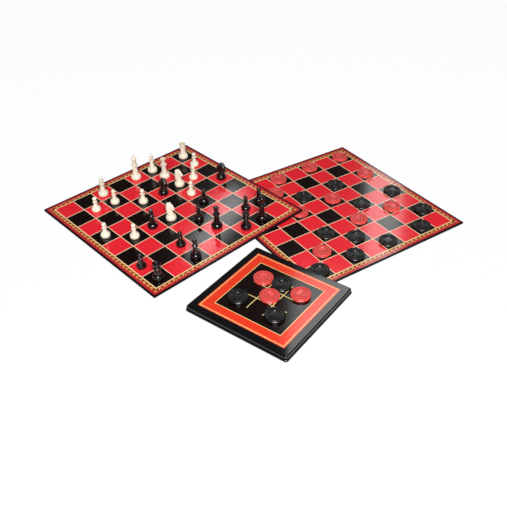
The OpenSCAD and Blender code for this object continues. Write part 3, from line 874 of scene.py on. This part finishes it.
def dress_inlay():
    """The case's inlay, cut at the edges of its lines."""
    steps = [CELL / 2 - HASH_W / 2, CELL / 2 + HASH_W / 2, HASH_REACH, INLAY_HALF]
    steps += [edge for trim in TRIMS for edge in trim]
    cuts = sorted([-step for step in steps] + steps)
    shape = sheet_of(cuts, cuts, inlay_zone, CASE_TOP, INLAY_T)
    make("case_inlay_dressed", shape, CASE, "case_lid", INLAY_MATERIALS,
         ["case_inlay", "case_field", "case_lines"])


dress_inlay()


# CAD nodes that keep their shape

def finish_nodes(material, *names):
    """Gives CAD nodes a material; a name that ends in a star stands for all that start with it."""
    for name in names:
        for node in frame["nodes"]:
            if node == name or (name.endswith("*") and node.startswith(name[:-1])):
                mesh = bpy.data.objects[node].data
                mesh.materials.clear()
                mesh.materials.append(material)


for board in BOARDS:
    finish_nodes(GREYBOARD, board + "_core_*")
    finish_nodes(PAPER, board + "_wrap_*")
    finish_nodes(TAPE, board + "_tape_*")
finish_nodes(IVORY, "ivory_*")
finish_nodes(EBONY, "black_pawns", "black_rooks", "black_knights", "black_bishops", "black_queen",
             "black_king")
finish_nodes(LACQUER, "case_base", "case_lid")
finish_nodes(FELT, "case_felt")
finish_nodes(RUBBER, "case_feet")


# Floor, light and camera

FLOOR_HALF = 4
FLOOR_DARK = (0.93, 0.93, 0.93)
FLOOR_LIGHT = (0.95, 0.95, 0.95)
FLOOR_WHITE = 0.95
WORLD_FILL = 0.05
PANE_Y = 2.2

# The camera's place, to the side and in front of the middle of the draughts board and above the floor
CAMERA_SIDE = -143.6
CAMERA_FRONT = -1050.8
CAMERA_H = 703
LOOK_DOWN = 37.5
SENSOR_W = 36
FRAME_PIXELS = 507
FOCAL_PIXELS = 680


def floor():
    """A white floor: mostly plain white to the camera and in gloss, with the object's shadow left on it."""
    mesh = bpy.data.meshes.new("floor")
    corners = [(-FLOOR_HALF, -FLOOR_HALF, 0), (FLOOR_HALF, -FLOOR_HALF, 0), (FLOOR_HALF, FLOOR_HALF, 0),
               (-FLOOR_HALF, FLOOR_HALF, 0)]
    mesh.from_pydata(corners, [], [(0, 1, 2, 3)])
    material, tree, principled = shader("floor", Roughness=0.9, Specular_IOR_Level=0.1)
    patches = blend_colours(tree, noise(tree, scale=400), FLOOR_DARK, FLOOR_LIGHT)
    tree.links.new(patches, principled.inputs["Base Color"])
    rays = tree.nodes.new("ShaderNodeLightPath")
    seen = tree.nodes.new("ShaderNodeMath")
    seen.operation = "MAXIMUM"
    share = tree.nodes.new("ShaderNodeMath")
    share.operation = "MULTIPLY"
    share.inputs[1].default_value = FLOOR_WHITE
    glow = tree.nodes.new("ShaderNodeEmission")
    mix = tree.nodes.new("ShaderNodeMixShader")
    tree.links.new(rays.outputs["Is Camera Ray"], seen.inputs[0])
    tree.links.new(rays.outputs["Is Glossy Ray"], seen.inputs[1])
    tree.links.new(seen.outputs[0], share.inputs[0])
    tree.links.new(share.outputs[0], mix.inputs["Fac"])
    tree.links.new(principled.outputs[0], mix.inputs[1])
    tree.links.new(glow.outputs[0], mix.inputs[2])
    tree.links.new(mix.outputs[0], tree.nodes["Material Output"].inputs["Surface"])
    mesh.materials.append(material)
    linked("floor", mesh)


def softbox(name, at, target, width, height, power, lean=0):
    """A rectangular lamp that faces its target, leaning by some degrees about the line to it."""
    lamp = bpy.data.lights.new(name, "AREA")
    lamp.shape = "RECTANGLE"
    lamp.size = width
    lamp.size_y = height
    lamp.energy = power
    piece = linked(name, lamp)
    piece.location = at
    facing = (Vector(target) - Vector(at)).to_track_quat("-Z", "Y").to_matrix()
    piece.rotation_euler = (facing @ Matrix.Rotation(math.radians(lean), 3, "Z")).to_euler()
    piece.visible_camera = False


def light():
    """A big softbox over the camera's shoulder, and three window panes that the glossy boards mirror."""
    world = bpy.data.worlds.new("studio")
    bpy.context.scene.world = world
    world.use_nodes = True
    tree = world.node_tree
    background = tree.nodes["Background"]
    background.inputs["Color"].default_value = rgba((1, 1, 1))
    rays = tree.nodes.new("ShaderNodeLightPath")
    strength = between(tree, rays.outputs["Is Camera Ray"], low=WORLD_FILL, high=1, start=0, end=1)
    tree.links.new(strength, background.inputs["Strength"])
    softbox("key_light", at=(0.1, -1.8, 1.75), target=(0, 0, 0), width=1.15, height=0.75, power=84)
    softbox("chess_pane", at=(-0.27, PANE_Y, 1.66), target=(-0.07, 0.08, 0), width=0.14, height=0.48,
            power=1.05, lean=-42)
    softbox("draughts_pane", at=(0.74, PANE_Y, 1.51), target=(0.24, 0.06, 0), width=0.2, height=0.66,
            power=1.6, lean=6)
    softbox("case_pane", at=(0.42, PANE_Y, 2.28), target=(0.105, -0.19, 0), width=0.36, height=0.55,
            power=2.2)


def camera():
    """Above and in front of the boards, looking down."""
    data = bpy.data.cameras.new("camera")
    data.sensor_width = SENSOR_W
    data.lens = FOCAL_PIXELS / FRAME_PIXELS * SENSOR_W
    data.clip_start = 0.05
    data.clip_end = 20
    piece = linked("camera", data)
    middle = BOARDS["draughts"].translation
    piece.location = (middle.x + CAMERA_SIDE * MM, middle.y + CAMERA_FRONT * MM, CAMERA_H * MM)
    piece.rotation_euler = (math.radians(90 - LOOK_DOWN), 0, 0)
    bpy.context.scene.camera = piece


floor()
light()
camera()
bpy.context.scene.view_settings.view_transform = "Standard"
